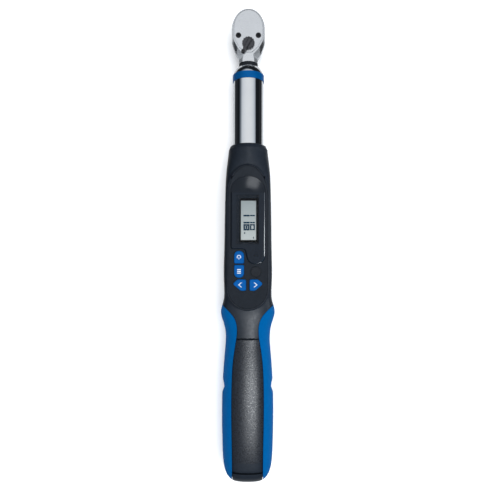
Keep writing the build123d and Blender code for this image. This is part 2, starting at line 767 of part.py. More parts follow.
def make_grips():
    """Soft grips over the sides of the handle, with finger scallops and cross grooves."""
    with BuildPart() as both:
        add(handle_body(0.0))
        add(slab(GRIP_START, TAIL - 0.4), mode=Mode.INTERSECT)
        add(handle_body(GRIP_DEPTH - 0.05), mode=Mode.SUBTRACT)
        add(spine_region(GROOVE / 2), mode=Mode.SUBTRACT)
        for side in (1, -1):
            with Locations(at(side * SCALLOP_X, SCALLOP_BACK)):
                Cylinder(SCALLOP_RADIUS, 60, mode=Mode.SUBTRACT)
            for s, half_width in NICKS:
                with Locations(at(side * half_width, s)):
                    Cylinder(NICK_RADIUS, 60, mode=Mode.SUBTRACT)
    halves = both.part.solids().sort_by(Axis.X)
    save(halves[0], "grip_left")
    save(halves[-1], "grip_right")


def make_tail_cap():
    with BuildPart() as cap:
        add(cavity(0.0, CAP_START + FIT, TAIL + 1))
        add(spine_region(-GROOVE / 2), mode=Mode.INTERSECT)
        add(cavity(GRIP_DEPTH, CAP_START + FIT, TAIL + 1))
        with Locations(Location(at(0, TAIL), (90, 0, 0))):
            CounterBoreHole(1.6, 3.2, 2.4)
    save(cap.part, "tail_cap")
    with BuildPart() as screw:
        with BuildSketch(Plane.XZ.offset(TAIL - 2.2)):
            Circle(2.9)
            RegularPolygon(1.5, 6, mode=Mode.SUBTRACT)
        extrude(amount=2.0)
        with BuildSketch(Plane.XZ.offset(CAP_START - 6)):
            Circle(1.45)
        extrude(amount=TAIL - 2.2 - CAP_START + 6)
    save(screw.part, "tail_screw")


def make_shell_screws():
    """Eight cross-recessed screws holding the shells together from behind."""
    places = [(x, s, SEAT) for x, s in BOSSES] + [(x, s, TAIL_SEAT) for x, s in TAIL_BOSSES]
    with BuildPart() as screws:
        for x, s, seat in places:
            with Locations(at(x, s, seat - 0.9)):
                Cylinder(1.85, 1.8)
            with Locations(at(x, s, seat + 6.5)):
                Cylinder(0.95, 13.0)
            with Locations(at(x, s, seat - 1.8)):
                Box(2.6, 0.5, 1.6, mode=Mode.SUBTRACT)
                Box(0.5, 2.6, 1.6, mode=Mode.SUBTRACT)
    save(screws.part, "shell_screws")


# ---- Console ----


def make_control_panel():
    with BuildPart() as panel:
        with BuildSketch(level(PANEL_TOP - PANEL_THICKNESS)):
            add(pill(PANEL_HALF_WIDTH, PANEL_START, PANEL_END, PANEL_ARCH))
        extrude(amount=PANEL_THICKNESS)
        chamfer(panel.faces().sort_by(Axis.Z)[-1].edges(), 0.35)
        with BuildSketch(level(PANEL_TOP - PANEL_THICKNESS - 1)):
            add(bezel_outline(FIT))
            for outline in KEYS.values():
                add(outline(0.25))
            with Locations((PORT_X, -PORT_BACK)):
                Circle(PORT_RADIUS + 0.2)
        extrude(amount=5, mode=Mode.SUBTRACT)
    save(panel.part, "control_panel")


def make_display():
    """Gloss bezel, indicator lens, window, and the display module behind them."""
    bezel_low = PANEL_TOP - PANEL_THICKNESS
    with BuildPart() as bezel:
        with BuildSketch(level(bezel_low)):
            add(bezel_outline())
        extrude(amount=BEZEL_TOP - bezel_low)
        fillet(bezel.faces().sort_by(Axis.Z)[-1].edges(), BEZEL_EDGE)
        add(slab(120, INDICATOR_END, low=0), mode=Mode.SUBTRACT)
        with Locations(at(WINDOW_X, WINDOW_BACK, BEZEL_TOP)):
            Box(WINDOW_WIDTH, WINDOW_LENGTH, 3.0, mode=Mode.SUBTRACT)
        with Locations(at(LCD_X, LCD_BACK, BEZEL_TOP)):
            Box(LCD_FRAME_WIDTH + 0.2, LCD_FRAME_LENGTH + 0.2, 12.0, mode=Mode.SUBTRACT)
        with BuildSketch(level(BEZEL_TOP)):
            with Locations((BUZZER_X, -BUZZER_BACK)):
                Circle(BUZZER_RADIUS)
                Circle(BUZZER_RADIUS - 0.35, mode=Mode.SUBTRACT)
        extrude(amount=-0.3, mode=Mode.SUBTRACT)
        with Locations(at(BUZZER_X, BUZZER_BACK)):
            with PolarLocations(1.4, 3, start_angle=90):
                Cylinder(0.5, 60, mode=Mode.SUBTRACT)
    save(bezel.part, "display_bezel")
    with BuildPart() as indicator:
        with BuildSketch(level(bezel_low)):
            add(bezel_outline())
        extrude(amount=BEZEL_TOP - bezel_low)
        fillet(indicator.faces().sort_by(Axis.Z)[-1].edges(), BEZEL_EDGE)
        add(slab(120, INDICATOR_END - 0.1, low=0), mode=Mode.INTERSECT)
        with Locations(at(0, INDICATOR_END + 1.0, BEZEL_TOP + 0.1 - DOME_RADIUS)):
            Sphere(DOME_RADIUS, mode=Mode.INTERSECT)
    save(indicator.part, "indicator_lens")
    with BuildPart() as window:
        with Locations(at(WINDOW_X, WINDOW_BACK, BEZEL_TOP - 1.5 + 0.4)):
            Box(WINDOW_WIDTH - 0.2, WINDOW_LENGTH - 0.2, 0.8)
    save(window.part, "lcd_window")
    with BuildPart() as frame:
        with Locations(at(LCD_X, LCD_BACK, 17.1)):
            Box(LCD_FRAME_WIDTH, LCD_FRAME_LENGTH, 3.8)
            Box(LCD_WIDTH, LCD_LENGTH, 6.0, mode=Mode.SUBTRACT)
    save(frame.part, "lcd_frame")
    with BuildPart() as glass:
        with Locations(at(LCD_X, LCD_BACK, 17.7)):
            Box(LCD_WIDTH - 0.1, LCD_LENGTH - 0.1, 1.4)
    save(glass.part, "lcd_glass")
    with BuildPart() as backlight:
        with Locations(at(LCD_X, LCD_BACK, 16.2)):
            Box(LCD_WIDTH - 0.1, LCD_LENGTH - 0.1, 1.2)
    save(backlight.part, "backlight")


def make_electronics():
    with BuildPart() as board:
        with Locations(at(0, 186.5, (BOARD_LOW + BOARD_HIGH) / 2)):
            Box(27.6, 103.0, BOARD_HIGH - BOARD_LOW)
        fillet(board.edges().filter_by(Axis.Z), 2.0)
    save(board.part, "main_board")
    with BuildPart() as chips:
        for x, s, width, length, height in (
            (6.0, 234.6, 5.0, 5.0, 1.0),
            (-6.0, 235.0, 5.0, 4.0, 1.0),
            (0.5, 235.0, 3.0, 2.0, 0.8),
            (-8.5, 144.0, 4.0, 5.0, 1.2),
        ):
            with Locations(at(x, s, BOARD_HIGH + height / 2)):
                Box(width, length, height)
    save(chips.part, "board_chips")
    with BuildPart() as leds:
        for x in (-3.5, 3.5):
            with Locations(at(x, 142.0, BOARD_HIGH + 0.6)):
                Box(2.8, 3.5, 1.2)
            with Locations(at(x, 142.0, BOARD_HIGH + 1.2)):
                Sphere(1.1)
    save(leds.part, "indicator_leds")
    with BuildPart() as buzzer:
        with BuildSketch(level(BOARD_HIGH)):
            with Locations((BUZZER_X, -BUZZER_BACK)):
                Circle(4.4)
        extrude(amount=2.6)
        with Locations(at(BUZZER_X, BUZZER_BACK, BOARD_HIGH + 2.6)):
            Cylinder(0.9, 1.0, mode=Mode.SUBTRACT)
    save(buzzer.part, "buzzer")
    with BuildPart() as switches:
        for x, s in ((KEY_X, 203.4), (KEY_X, 215.2), (-6.6, ARROW_BACK), (6.6, ARROW_BACK)):
            with Locations(at(x, s, BOARD_HIGH + 0.35)):
                Box(4.4, 4.4, 0.7)
            with Locations(at(x, s, BOARD_HIGH + 0.75)):
                Cylinder(1.4, 0.6)
    save(switches.part, "key_switches")
    with BuildPart() as jack:
        with BuildSketch(level(BOARD_HIGH)):
            with Locations((PORT_X, -PORT_BACK)):
                Circle(3.4)
                Circle(JACK_RADIUS, mode=Mode.SUBTRACT)
        extrude(amount=3.4)
    save(jack.part, "port_jack")
    with BuildPart() as plug:
        with BuildSketch(level(18.75)):
            with Locations((PORT_X, -PORT_BACK)):
                Circle(PORT_RADIUS)
        extrude(amount=1.8)
        fillet(plug.faces().sort_by(Axis.Z)[-1].edges(), 0.5)
        chamfer(plug.faces().sort_by(Axis.Z)[0].edges(), 0.4)
    save(plug.part, "port_cover")


def make_keys():
    for name, outline in KEYS.items():
        with BuildPart() as key:
            with BuildSketch(level(KEY_FLANGE_LOW)):
                add(outline(0.0))
            extrude(amount=KEY_TOP - KEY_FLANGE_LOW)
            fillet(key.faces().sort_by(Axis.Z)[-1].edges(), 0.6)
            with BuildSketch(level(KEY_FLANGE_LOW)):
                add(outline(0.55))
            extrude(amount=KEY_FLANGE_HIGH - KEY_FLANGE_LOW)
        save(key.part, name)


# ---- Battery bay ----


def make_battery_bay():
    wall = 1.2
    with BuildPart() as tray:
        add(slab(TRAY_START, TRAY_END, TRAY_HALF_WIDTH, TRAY_FLOOR, TRAY_TOP))
        inner = TRAY_HALF_WIDTH - wall
        add(slab(TRAY_START + wall, TRAY_END - wall, inner, TRAY_FLOOR + wall), mode=Mode.SUBTRACT)
    save(tray.part, "battery_tray")
    middle = (TRAY_START + TRAY_END) / 2
    with BuildPart() as batteries:
        for side in (-1, 1):
            for s in (middle - CELL_LENGTH / 2 - 0.2, middle + CELL_LENGTH / 2 + 0.2):
                with Locations(Location(at(side * CELL_X, s + side * 0.6, CELL_Z), (90, 0, 0))):
                    Cylinder(CELL_RADIUS, CELL_LENGTH - 1.2)
                nub = s - side * (CELL_LENGTH / 2 - 0.9)
                with Locations(Location(at(side * CELL_X, nub, CELL_Z), (90, 0, 0))):
                    Cylinder(1.9, 1.8)
    save(batteries.part, "battery_cells")
    ends = ((TRAY_START + wall, 1), (TRAY_END - wall, -1))
    with BuildPart() as contacts:
        for s, inward in ends:
            with Locations(at(0, s + inward * 0.3, CELL_Z - 0.4)):
                Box(20.0, 0.4, 7.6)
            with Locations(Location(at(inward * CELL_X, s + inward * 1.1, CELL_Z), (90, 0, 0))):
                Cylinder(1.6, 1.4)
            spring = coil(2.8, 0.3, 1.9, 2)
            place = at(-inward * CELL_X, s + inward * 0.7, CELL_Z)
            add(spring.moved(Location(place, (90 * inward, 0, 0))))
    save(contacts.part, "battery_contacts")


def main():
    os.makedirs("parts", exist_ok=True)
    make_ratchet_head()
    make_cover_plate()
    make_cover_screws()
    make_drive_gear()
    make_pawl()
    make_selector()
    make_tube_group()
    make_shell("front_shell", SEAM / 2, 40.0)
    make_shell("rear_shell", -40.0, -SEAM / 2)
    make_battery_door()
    make_grips()
    make_tail_cap()
    make_shell_screws()
    make_control_panel()
    make_display()
    make_electronics()
    make_keys()
    make_battery_bay()


main()
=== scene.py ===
"""Electronic torque wrench: materials, display figures, key marks, light and camera.

Everything is in metres in the row frame: +Y towards the head, +Z out of the
display, +X to the display's right.
"""

from math import cos, radians, sin

import bmesh
import bpy
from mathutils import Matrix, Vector


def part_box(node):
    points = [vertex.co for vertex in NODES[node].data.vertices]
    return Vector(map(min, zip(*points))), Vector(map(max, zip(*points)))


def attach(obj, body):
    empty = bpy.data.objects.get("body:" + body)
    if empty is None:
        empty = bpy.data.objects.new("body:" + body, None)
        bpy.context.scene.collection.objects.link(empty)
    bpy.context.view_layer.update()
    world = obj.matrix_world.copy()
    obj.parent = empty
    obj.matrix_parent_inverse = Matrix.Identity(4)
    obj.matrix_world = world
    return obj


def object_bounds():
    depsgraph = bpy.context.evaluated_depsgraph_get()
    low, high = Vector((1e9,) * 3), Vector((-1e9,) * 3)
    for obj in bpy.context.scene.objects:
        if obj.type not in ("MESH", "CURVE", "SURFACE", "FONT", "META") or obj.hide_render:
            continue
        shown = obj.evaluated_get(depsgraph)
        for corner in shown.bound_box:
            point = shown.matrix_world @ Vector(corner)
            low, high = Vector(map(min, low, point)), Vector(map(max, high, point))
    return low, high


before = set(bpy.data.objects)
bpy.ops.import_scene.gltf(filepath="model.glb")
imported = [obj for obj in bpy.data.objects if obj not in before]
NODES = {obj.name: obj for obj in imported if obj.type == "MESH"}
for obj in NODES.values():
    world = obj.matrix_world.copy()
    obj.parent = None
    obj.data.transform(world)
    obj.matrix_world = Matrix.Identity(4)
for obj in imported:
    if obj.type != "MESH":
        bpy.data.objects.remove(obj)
CAD_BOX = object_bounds()
MM = 0.001


# ---- Camera ----

CAMERA_HEIGHT = 0.404  # above the tube's axis
CAMERA_X, CAMERA_Y = 0.0018, -0.197
CAMERA_ROLL = radians(0.13)
LENS, SENSOR = 32.4, 36.0
NEAR_CLIP = 0.01


def add_camera():
    """Looks straight down at the display, as the photograph does."""
    low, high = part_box("tube")
    axis_height = (low.z + high.z) / 2
    camera = bpy.data.objects.new("camera", bpy.data.cameras.new("camera"))
    bpy.context.scene.collection.objects.link(camera)
    camera.data.lens = LENS
    camera.data.sensor_width = SENSOR
    camera.data.clip_start = NEAR_CLIP
    camera.location = (CAMERA_X, CAMERA_Y, axis_height + CAMERA_HEIGHT)
    camera.rotation_euler = (0.0, 0.0, CAMERA_ROLL)
    bpy.context.scene.camera = camera


# ---- Lamps and room ----

COOL_WHITE = (0.92, 0.96, 1.0)
SUN_SPREAD = radians(60)
HANDLE_BLACKS = ("front_shell", "battery_door", "tail_cap")
HEAD_METAL = ("ratchet_head", "cover_plate", "selector_lever")
CONSOLE_BLACKS = ("front_shell", "control_panel", "display_bezel", "indicator_lens", "port_cover")

# How bright the room is at each height of a direction, from level (0) to overhead (1)
SOFT_SIDE = ((0.0, 0.015), (0.30, 0.015), (0.46, 0.18), (0.68, 0.80), (1.0, 1.0))
CRISP_SIDE = ((0.0, 0.015), (0.50, 0.015), (0.57, 0.50), (0.78, 0.85), (1.0, 1.0))
BRIGHT_TINT = (0.96, 0.98, 1.0)
DARK_SHIFT = (-0.20, -0.05, 0.15)  # added to the tint where the room is dark
SIDE_BLEND = 0.2  # how far to either side of the tool's axis the two ramps mix
ROOM_STRENGTH = 0.75
BACKDROP = (0.93, 0.94, 0.95, 1)  # what the camera sees past the floor


def add_softbox(name, place, target, size, power, only=None):
    """A rectangular lamp at a place, turned to a target, that lights everything or one group."""
    light = bpy.data.lights.new(name, "AREA")
    light.shape = "RECTANGLE"
    light.size, light.size_y = size
    light.energy = power
    light.color = COOL_WHITE
    lamp = bpy.data.objects.new(name, light)
    bpy.context.scene.collection.objects.link(lamp)
    if only:
        lamp.light_linking.receiver_collection = only
    lamp.visible_glossy = only is not None
    lamp.location = place
    lamp.rotation_euler = (Vector(target) - Vector(place)).to_track_quat("-Z", "Y").to_euler()


def add_sun(name, strength, only):
    """Soft daylight from straight above on one group."""
    light = bpy.data.lights.new(name, "SUN")
    light.energy = strength
    light.angle = SUN_SPREAD
    lamp = bpy.data.objects.new(name, light)
    bpy.context.scene.collection.objects.link(lamp)
    lamp.light_linking.receiver_collection = only


def group(name, things):
    """A collection that a lamp can be limited to."""
    collection = bpy.data.collections.new(name)
    for thing in things:
        collection.objects.link(thing)
    return collection


def nodes_group(name, nodes):
    """The same for CAD nodes, by name."""
    return group(name, [NODES[node] for node in nodes])


def add_lamps():
    """Highlights on single groups, a fill over everything, and daylight on the floor."""
    handle = nodes_group("handle_blacks", HANDLE_BLACKS)
    console = nodes_group("console_blacks", CONSOLE_BLACKS)
    add_softbox("key_light", (0.14, -0.585, 1.0), (0, -0.31, 0), (0.12, 0.12), 8.5, handle)
    add_softbox("head_light", (0.09, 0.20, 1.0), (0, -0.14, 0), (0.22, 0.22), 1.0, console)
    add_softbox("side_light", (1.0, -0.15, 0.35), (0, -0.2, 0), (0.3, 1.0), 5.0, console)
    head = nodes_group("head_metal", HEAD_METAL)
    for side in (-1, 1):
        place = (0.9 * side, 0.0, 0.28)
        add_softbox(f"bevel_light_{side}", place, (0, -0.01, 0), (0.9, 0.5), 0.55, head)
    rim = nodes_group("bezel_rim", ("display_bezel",))
    add_softbox("rim_light", (1.0, -0.18, 0.14), (0, -0.17, 0), (0.14, 1.2), 20.0, rim)
    add_softbox("rim_light_rear", (0.35, -1.1, 0.2), (0, -0.2, 0), (0.6, 0.16), 14.0, rim)
    add_softbox("fill_light", (0.45, -0.2, 1.3), (0, -0.2, 0), (1.2, 1.6), 20.0)
    ground = group("ground", [add_floor()])
    add_sun("floor_light", 1.7, ground)


def height_ramp(tree, height, stops):
    """A grey that follows the height through the stops, bluer where it is dark."""
    ramp = tree.nodes.new("ShaderNodeValToRGB")
    while len(ramp.color_ramp.elements) < len(stops):
        ramp.color_ramp.elements.new(0.5)
    for element, (place, value) in zip(ramp.color_ramp.elements, stops):
        element.position = place
        dark = 1.0 - value
        tint = [bright + shift * dark for bright, shift in zip(BRIGHT_TINT, DARK_SHIFT)]
        element.color = (*[value * channel for channel in tint], 1)
    tree.links.new(height, ramp.inputs[0])
    return ramp.outputs[0]


def add_world():
    """A room with a bright ceiling and dark walls: the ceiling's edge is soft on the left."""
    world = bpy.data.worlds.new("studio")
    bpy.context.scene.world = world
    world.use_nodes = True
    tree = world.node_tree
    tree.nodes.clear()
    add = tree.nodes.new
    link = tree.links.new
    coord = add("ShaderNodeTexCoord")
    split = add("ShaderNodeSeparateXYZ")
    link(coord.outputs["Generated"], split.inputs[0])
    soft_side = height_ramp(tree, split.outputs["Z"], SOFT_SIDE)
    crisp_side = height_ramp(tree, split.outputs["Z"], CRISP_SIDE)
    side = add("ShaderNodeMapRange")
    side.inputs["From Min"].default_value = -SIDE_BLEND
    side.inputs["From Max"].default_value = SIDE_BLEND
    link(split.outputs["X"], side.inputs["Value"])
    both = add("ShaderNodeMix")
    both.data_type = "RGBA"
    link(side.outputs[0], both.inputs["Factor"])
    link(soft_side, both.inputs["A"])
    link(crisp_side, both.inputs["B"])
    room = add("ShaderNodeBackground")
    room.inputs["Strength"].default_value = ROOM_STRENGTH
    link(both.outputs["Result"], room.inputs["Color"])
    backdrop = add("ShaderNodeBackground")
    backdrop.inputs["Color"].default_value = BACKDROP
    path = add("ShaderNodeLightPath")
    mix = add("ShaderNodeMixShader")
    link(path.outputs["Is Camera Ray"], mix.inputs[0])
    link(room.outputs[0], mix.inputs[1])
    link(backdrop.outputs[0], mix.inputs[2])
    out = add("ShaderNodeOutputWorld")
    link(mix.outputs[0], out.inputs[0])


# ---- Floor ----

FLOOR_SIZE = 5.0
FLOOR_GRID = 8
FLOOR_GAP = 0.1 * MM  # under the tool's lowest point
FLOOR_COLOUR = (0.90, 0.90, 0.905)
MIRRORED_COLOUR = (0.02, 0.022, 0.025, 1)
MIRROR_NEAR, MIRROR_FAR = 34 * MM, 60 * MM  # from the tool's axis
MIRROR_LEAST = 0.55  # how dark the floor is in gloss right under the tool, of 1


def add_floor():
    """The pale floor that the tool lies on."""
    height = CAD_BOX[0][2] - FLOOR_GAP
    bpy.ops.mesh.primitive_grid_add(
        x_subdivisions=FLOOR_GRID, y_subdivisions=FLOOR_GRID, size=FLOOR_SIZE
    )
    floor = bpy.context.object
    floor.name = "floor"
    floor.location.z = height
    look = Look("pale_floor", FLOOR_COLOUR, rough=0.85, Specular_IOR_Level=0.1)
    look.vary(scale=3.0, amount=0.01)
    darken_mirrored(look)
    floor.data.materials.append(look.material)
    return floor


def darken_mirrored(look):
    """Seen in gloss, the floor is dark, and less so under the tool, like a set table."""
    add, link = look.tree.nodes.new, look.link
    split = add("ShaderNodeSeparateXYZ")
    link(look.coord, split.inputs[0])
    side = add("ShaderNodeMath")
    side.operation = "ABSOLUTE"
    link(split.outputs["X"], side.inputs[0])
    fade = look.remap(side.outputs[0], MIRROR_LEAST, 1.0, MIRROR_NEAR, MIRROR_FAR)
    path = add("ShaderNodeLightPath")
    both = add("ShaderNodeMath")
    both.operation = "MULTIPLY"
    link(fade, both.inputs[0])
    link(path.outputs["Is Glossy Ray"], both.inputs[1])
    dark = add("ShaderNodeEmission")
    dark.inputs["Color"].default_value = MIRRORED_COLOUR
    mix = add("ShaderNodeMixShader")
    link(both.outputs[0], mix.inputs[0])
    link(look.shader.outputs[0], mix.inputs[1])
    link(dark.outputs[0], mix.inputs[2])
    link(mix.outputs[0], look.tree.nodes["Material Output"].inputs["Surface"])


# ---- Materials ----

NOISE_LOW, NOISE_HIGH = 0.3, 0.7  # where nearly all of a noise's values lie


class Look:
    """A Principled material whose colour, roughness and bump come from noise in object space."""

    def __init__(self, name, colour, rough, **sockets):
        self.material = bpy.data.materials.new(name)
        self.material.use_nodes = True
        self.material.diffuse_color = (*colour, 1)
        self.tree = self.material.node_tree
        self.shader = self.tree.nodes["Principled BSDF"]
        self.colour, self.rough = colour, rough
        self.shader.inputs["Base Color"].default_value = (*colour, 1)
        self.shader.inputs["Roughness"].default_value = rough
        for socket, value in sockets.items():
            self.shader.inputs[socket.replace("_", " ")].default_value = value
        self.coord = self.tree.nodes.new("ShaderNodeTexCoord").outputs["Object"]

    def link(self, source, target):
        self.tree.links.new(source, target)

    def noise(self, scale, detail):
        """A cloudy pattern, with the scale in patches per metre."""
        node = self.tree.nodes.new("ShaderNodeTexNoise")
        node.inputs["Scale"].default_value = scale
        node.inputs["Detail"].default_value = detail
        self.link(self.coord, node.inputs["Vector"])
        return node.outputs["Fac"]

    def remap(self, value, low, high, start=NOISE_LOW, end=NOISE_HIGH):
        """The part of the value from start to end, spread over low to high."""
        node = self.tree.nodes.new("ShaderNodeMapRange")
        node.inputs["From Min"].default_value = start
        node.inputs["From Max"].default_value = end
        node.inputs["To Min"].default_value = low
        node.inputs["To Max"].default_value = high
        self.link(value, node.inputs["Value"])
        return node.outputs[0]

    def grade(self, value, low, high, start=0.0, end=1.0):
        """The base colour runs from low to high as the value goes from start to end."""
        ramp = self.tree.nodes.new("ShaderNodeValToRGB")
        for element, place, colour in zip(ramp.color_ramp.elements, (start, end), (low, high)):
            element.position = place
            element.color = (*colour, 1)
        self.link(value, ramp.inputs[0])
        self.link(ramp.outputs[0], self.shader.inputs["Base Color"])

    def vary(self, scale, amount, detail=3.0):
        """Lightens and darkens the colour in patches."""
        low = [c * (1 - amount) for c in self.colour]
        high = [min(1, c * (1 + amount)) for c in self.colour]
        self.grade(self.noise(scale, detail), low, high, NOISE_LOW, NOISE_HIGH)

    def patchy(self, scale, spread):
        """Roughness that wanders about its mean."""
        value = self.noise(scale, detail=4.0)
        rough = self.remap(value, max(0.0, self.rough - spread), self.rough + spread)
        self.link(rough, self.shader.inputs["Roughness"])

    def grain(self, scale, depth, strength=1.0, detail=2.0, cells=False):
        """Surface relief, depth in millimetres. With cells it is a pebbled moulding texture."""
        if cells:
            node = self.tree.nodes.new("ShaderNodeTexVoronoi")
            node.inputs["Scale"].default_value = scale
            self.link(self.coord, node.inputs["Vector"])
            height = node.outputs["Distance"]
        else:
            height = self.noise(scale, detail)
        bump = self.tree.nodes.new("ShaderNodeBump")
        bump.inputs["Strength"].default_value = strength
        bump.inputs["Distance"].default_value = depth * MM
        self.link(height, bump.inputs["Height"])
        previous = self.shader.inputs["Normal"].links
        if previous:
            self.link(previous[0].from_socket, bump.inputs["Normal"])
        self.link(bump.outputs[0], self.shader.inputs["Normal"])


def metal(name, colour, rough, spread=0.04, grain_depth=0.004):
    """Plated, polished or blackened metal with a very fine grain."""
    look = Look(name, colour, rough, Metallic=1.0)
    look.vary(scale=90, amount=0.02)
    look.patchy(scale=260, spread=spread)
    look.grain(scale=5200, depth=grain_depth, strength=0.6)
    return look.material


def moulded(name, colour, rough, depth=0.02, amount=0.12, **sockets):
    """Injection-moulded plastic or rubber with a spark-eroded grain."""
    look = Look(name, colour, rough, **sockets)
    look.vary(scale=420, amount=amount)
    look.patchy(scale=700, spread=0.05)
    look.grain(scale=2600, depth=depth, strength=0.7, cells=True)
    look.grain(scale=160, depth=depth * 2, strength=0.25)
    return look.material


def polished(name, colour, rough, **sockets):
    """Smooth plastic, lacquer or foil with a faint ripple."""
    look = Look(name, colour, rough, **sockets)
    look.vary(scale=200, amount=0.06)
    look.patchy(scale=500, spread=0.02)
    look.grain(scale=900, depth=0.002, strength=0.3)
    return look.material


def window_material():
    """A thin clear window that hardly tints what lies behind it."""
    look = Look("clear_window", (0.01, 0.012, 0.012), rough=0.05, Alpha=0.08)
    look.vary(scale=300, amount=0.01)
    look.patchy(scale=600, spread=0.02)
    return look.material


def door_material():
    """Black pad with a coarse spark-eroded texture that scatters the light."""
    look = Look("door_black", (0.005, 0.007, 0.011), rough=0.31, Specular_IOR_Level=0.25)
    look.vary(scale=900, amount=0.5, detail=5.0)
    look.patchy(scale=900, spread=0.08)
    look.grain(scale=950, depth=0.026, detail=5.0)
    look.grain(scale=2200, depth=0.04, cells=True)
    return look.material


# Painted shade and light on the display glass: the first colour is its shaded head end, the second
# its lit tail end.
LCD_PAINTED_SHADE, LCD_PAINTED_LIGHT = (0.36, 0.41, 0.41), (0.60, 0.64, 0.62)


def lcd_material():
    """Pale reflective liquid-crystal glass with painted light and shade that make it brighter
    towards the tail, and a fine pixel grain.
    """
    look = Look("lcd_pale", LCD_PAINTED_SHADE, rough=0.35)
    low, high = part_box("lcd_glass")
    split = look.tree.nodes.new("ShaderNodeSeparateXYZ")
    look.link(look.coord, split.inputs[0])
    # Painted shade: the base colour runs from lit at the tail end to shaded at the head end.
    along = look.remap(split.outputs["Y"], 0.0, 1.0, low.y, high.y)
    look.grade(along, LCD_PAINTED_LIGHT, LCD_PAINTED_SHADE)
    look.patchy(scale=800, spread=0.05)
    look.grain(scale=4000, depth=0.004, strength=0.3)
    return look.material


BLACK = (0.009, 0.012, 0.017)
FRAME_BLACK = (0.004, 0.004, 0.005)
RUBBER_BLACK = (0.013, 0.015, 0.019)
SMOKED_BLACK = (0.005, 0.008, 0.013)
GRIP_BLUE = (0.0, 0.104, 0.325)
KEY_BLUE = (0.0, 0.092, 0.34)
RING_BLUE = (0.0, 0.094, 0.31)
DULL = 0.14  # specular level of the grained mouldings


def paint_nodes():
    """Gives every CAD node its own procedural material."""
    satin = metal("satin_chrome", (0.90, 0.92, 0.95), 0.26, spread=0.025, grain_depth=0.0015)
    smoked = metal("dark_chrome", (0.10, 0.10, 0.11), 0.26)
    bright = metal("bright_chrome", (0.94, 0.96, 0.99), 0.07, spread=0.02, grain_depth=0.001)
    oxide = metal("black_oxide", (0.05, 0.05, 0.055), 0.42)
    steel = metal("spring_steel", (0.6, 0.6, 0.61), 0.3)
    shell = moulded("shell_black", BLACK, 0.36, Specular_IOR_Level=DULL)
    panel = moulded("panel_black", BLACK, 0.42, depth=0.025, Specular_IOR_Level=0.15)
    grip = moulded("grip_blue", GRIP_BLUE, 0.6, depth=0.015, amount=0.05, Specular_IOR_Level=0.03)
    key = polished("key_blue", KEY_BLUE, 0.3, Specular_IOR_Level=0.1)
    gloss = polished("smoked_gloss", SMOKED_BLACK, 0.14, Specular_IOR_Level=0.23)
    door = door_material()
    rubber = moulded("port_rubber", RUBBER_BLACK, 0.55, Specular_IOR_Level=DULL)
    anodised = polished("ring_blue", RING_BLUE, 0.32, Metallic=0.3, Specular_IOR_Level=0.12)
    chip = moulded("chip_black", (0.02, 0.02, 0.02), 0.5)
    window = window_material()
    frame_black = moulded("lcd_frame_black", FRAME_BLACK, 0.6, Specular_IOR_Level=0.1)
    looks = (
        (satin, ["ratchet_head", "cover_plate", "drive_gear"]),
        (smoked, ["selector_lever"]),
        (bright, ["nose_cone", "tube"]),
        (oxide, ["cover_screws", "shell_screws", "tail_screw"]),
        (steel, ["drive_washer", "detent_ball", "detent_spring", "pawl", "beam_pin"]),
        (steel, ["selector_ball", "selector_spring", "anchor_pin", "battery_contacts"]),
        (shell, ["front_shell", "rear_shell", "tail_cap", "battery_tray", "tube_plug"]),
        (panel, ["control_panel"]),
        (grip, ["grip_left", "grip_right"]),
        (key, ["key_power", "key_unit", "key_down", "key_up"]),
        (gloss, ["display_bezel", "indicator_lens"]),
        (door, ["battery_door"]),
        (rubber, ["port_cover", "neck_seal"]),
        (anodised, ["colour_ring"]),
        (window, ["lcd_window"]),
        (frame_black, ["lcd_frame"]),
        (lcd_material(), ["lcd_glass"]),
        (polished("backlight_white", (0.8, 0.8, 0.76), 0.4), ["backlight"]),
        (polished("board_green", (0.01, 0.09, 0.04), 0.3), ["main_board"]),
        (chip, ["board_chips", "buzzer", "key_switches", "port_jack"]),
        (polished("led_clear", (0.7, 0.7, 0.65), 0.15), ["indicator_leds"]),
        (polished("cell_wrap", (0.1, 0.11, 0.13), 0.3), ["battery_cells"]),
        (polished("gauge_foil", (0.5, 0.25, 0.08), 0.3), ["strain_gauges"]),
    )
    for material, names in looks:
        for name in names:
            node = NODES[name]
            node.data.materials.clear()
            node.data.materials.append(material)


# ---- Flat marks: display figures and key symbols ----


def prism(mesh, outline, low, high):
    """Adds a closed outline, extruded between two heights, to a bmesh."""
    bottom = [mesh.verts.new((x, y, low)) for x, y in outline]
    top = [mesh.verts.new((x, y, high)) for x, y in outline]
    count = len(outline)
    mesh.faces.new(bottom[::-1])
    mesh.faces.new(top)
    for i in range(count):
        j = (i + 1) % count
        mesh.faces.new((bottom[i], bottom[j], top[j], top[i]))


def marks(name, outlines, low, high, look, body):
    """One piece made of several flat raised outlines."""
    mesh = bmesh.new()
    for outline in outlines:
        prism(mesh, outline, low, high)
    bmesh.ops.recalc_face_normals(mesh, faces=mesh.faces)
    data = bpy.data.meshes.new(name)
    mesh.to_mesh(data)
    mesh.free()
    piece = bpy.data.objects.new(name, data)
    bpy.context.scene.collection.objects.link(piece)
    piece.data.materials.append(look.material)
    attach(piece, body)


def bar(start, end, width):
    """A straight stroke with square ends."""
    start, end = Vector(start), Vector(end)
    along = (end - start).normalized()
    across = Vector((-along.y, along.x)) * width / 2
    return [tuple(p) for p in (start + across, start - across, end - across, end + across)]


ARC_STEPS = 20


def arc_stroke(centre, radius, width, start, sweep):
    """A band along part of a circle."""
    angles = [start + sweep * i / ARC_STEPS for i in range(ARC_STEPS + 1)]
    outer = [(radius + width / 2, a) for a in angles]
    inner = [(radius - width / 2, a) for a in reversed(angles)]
    return [(centre[0] + r * cos(a), centre[1] + r * sin(a)) for r, a in outer + inner]


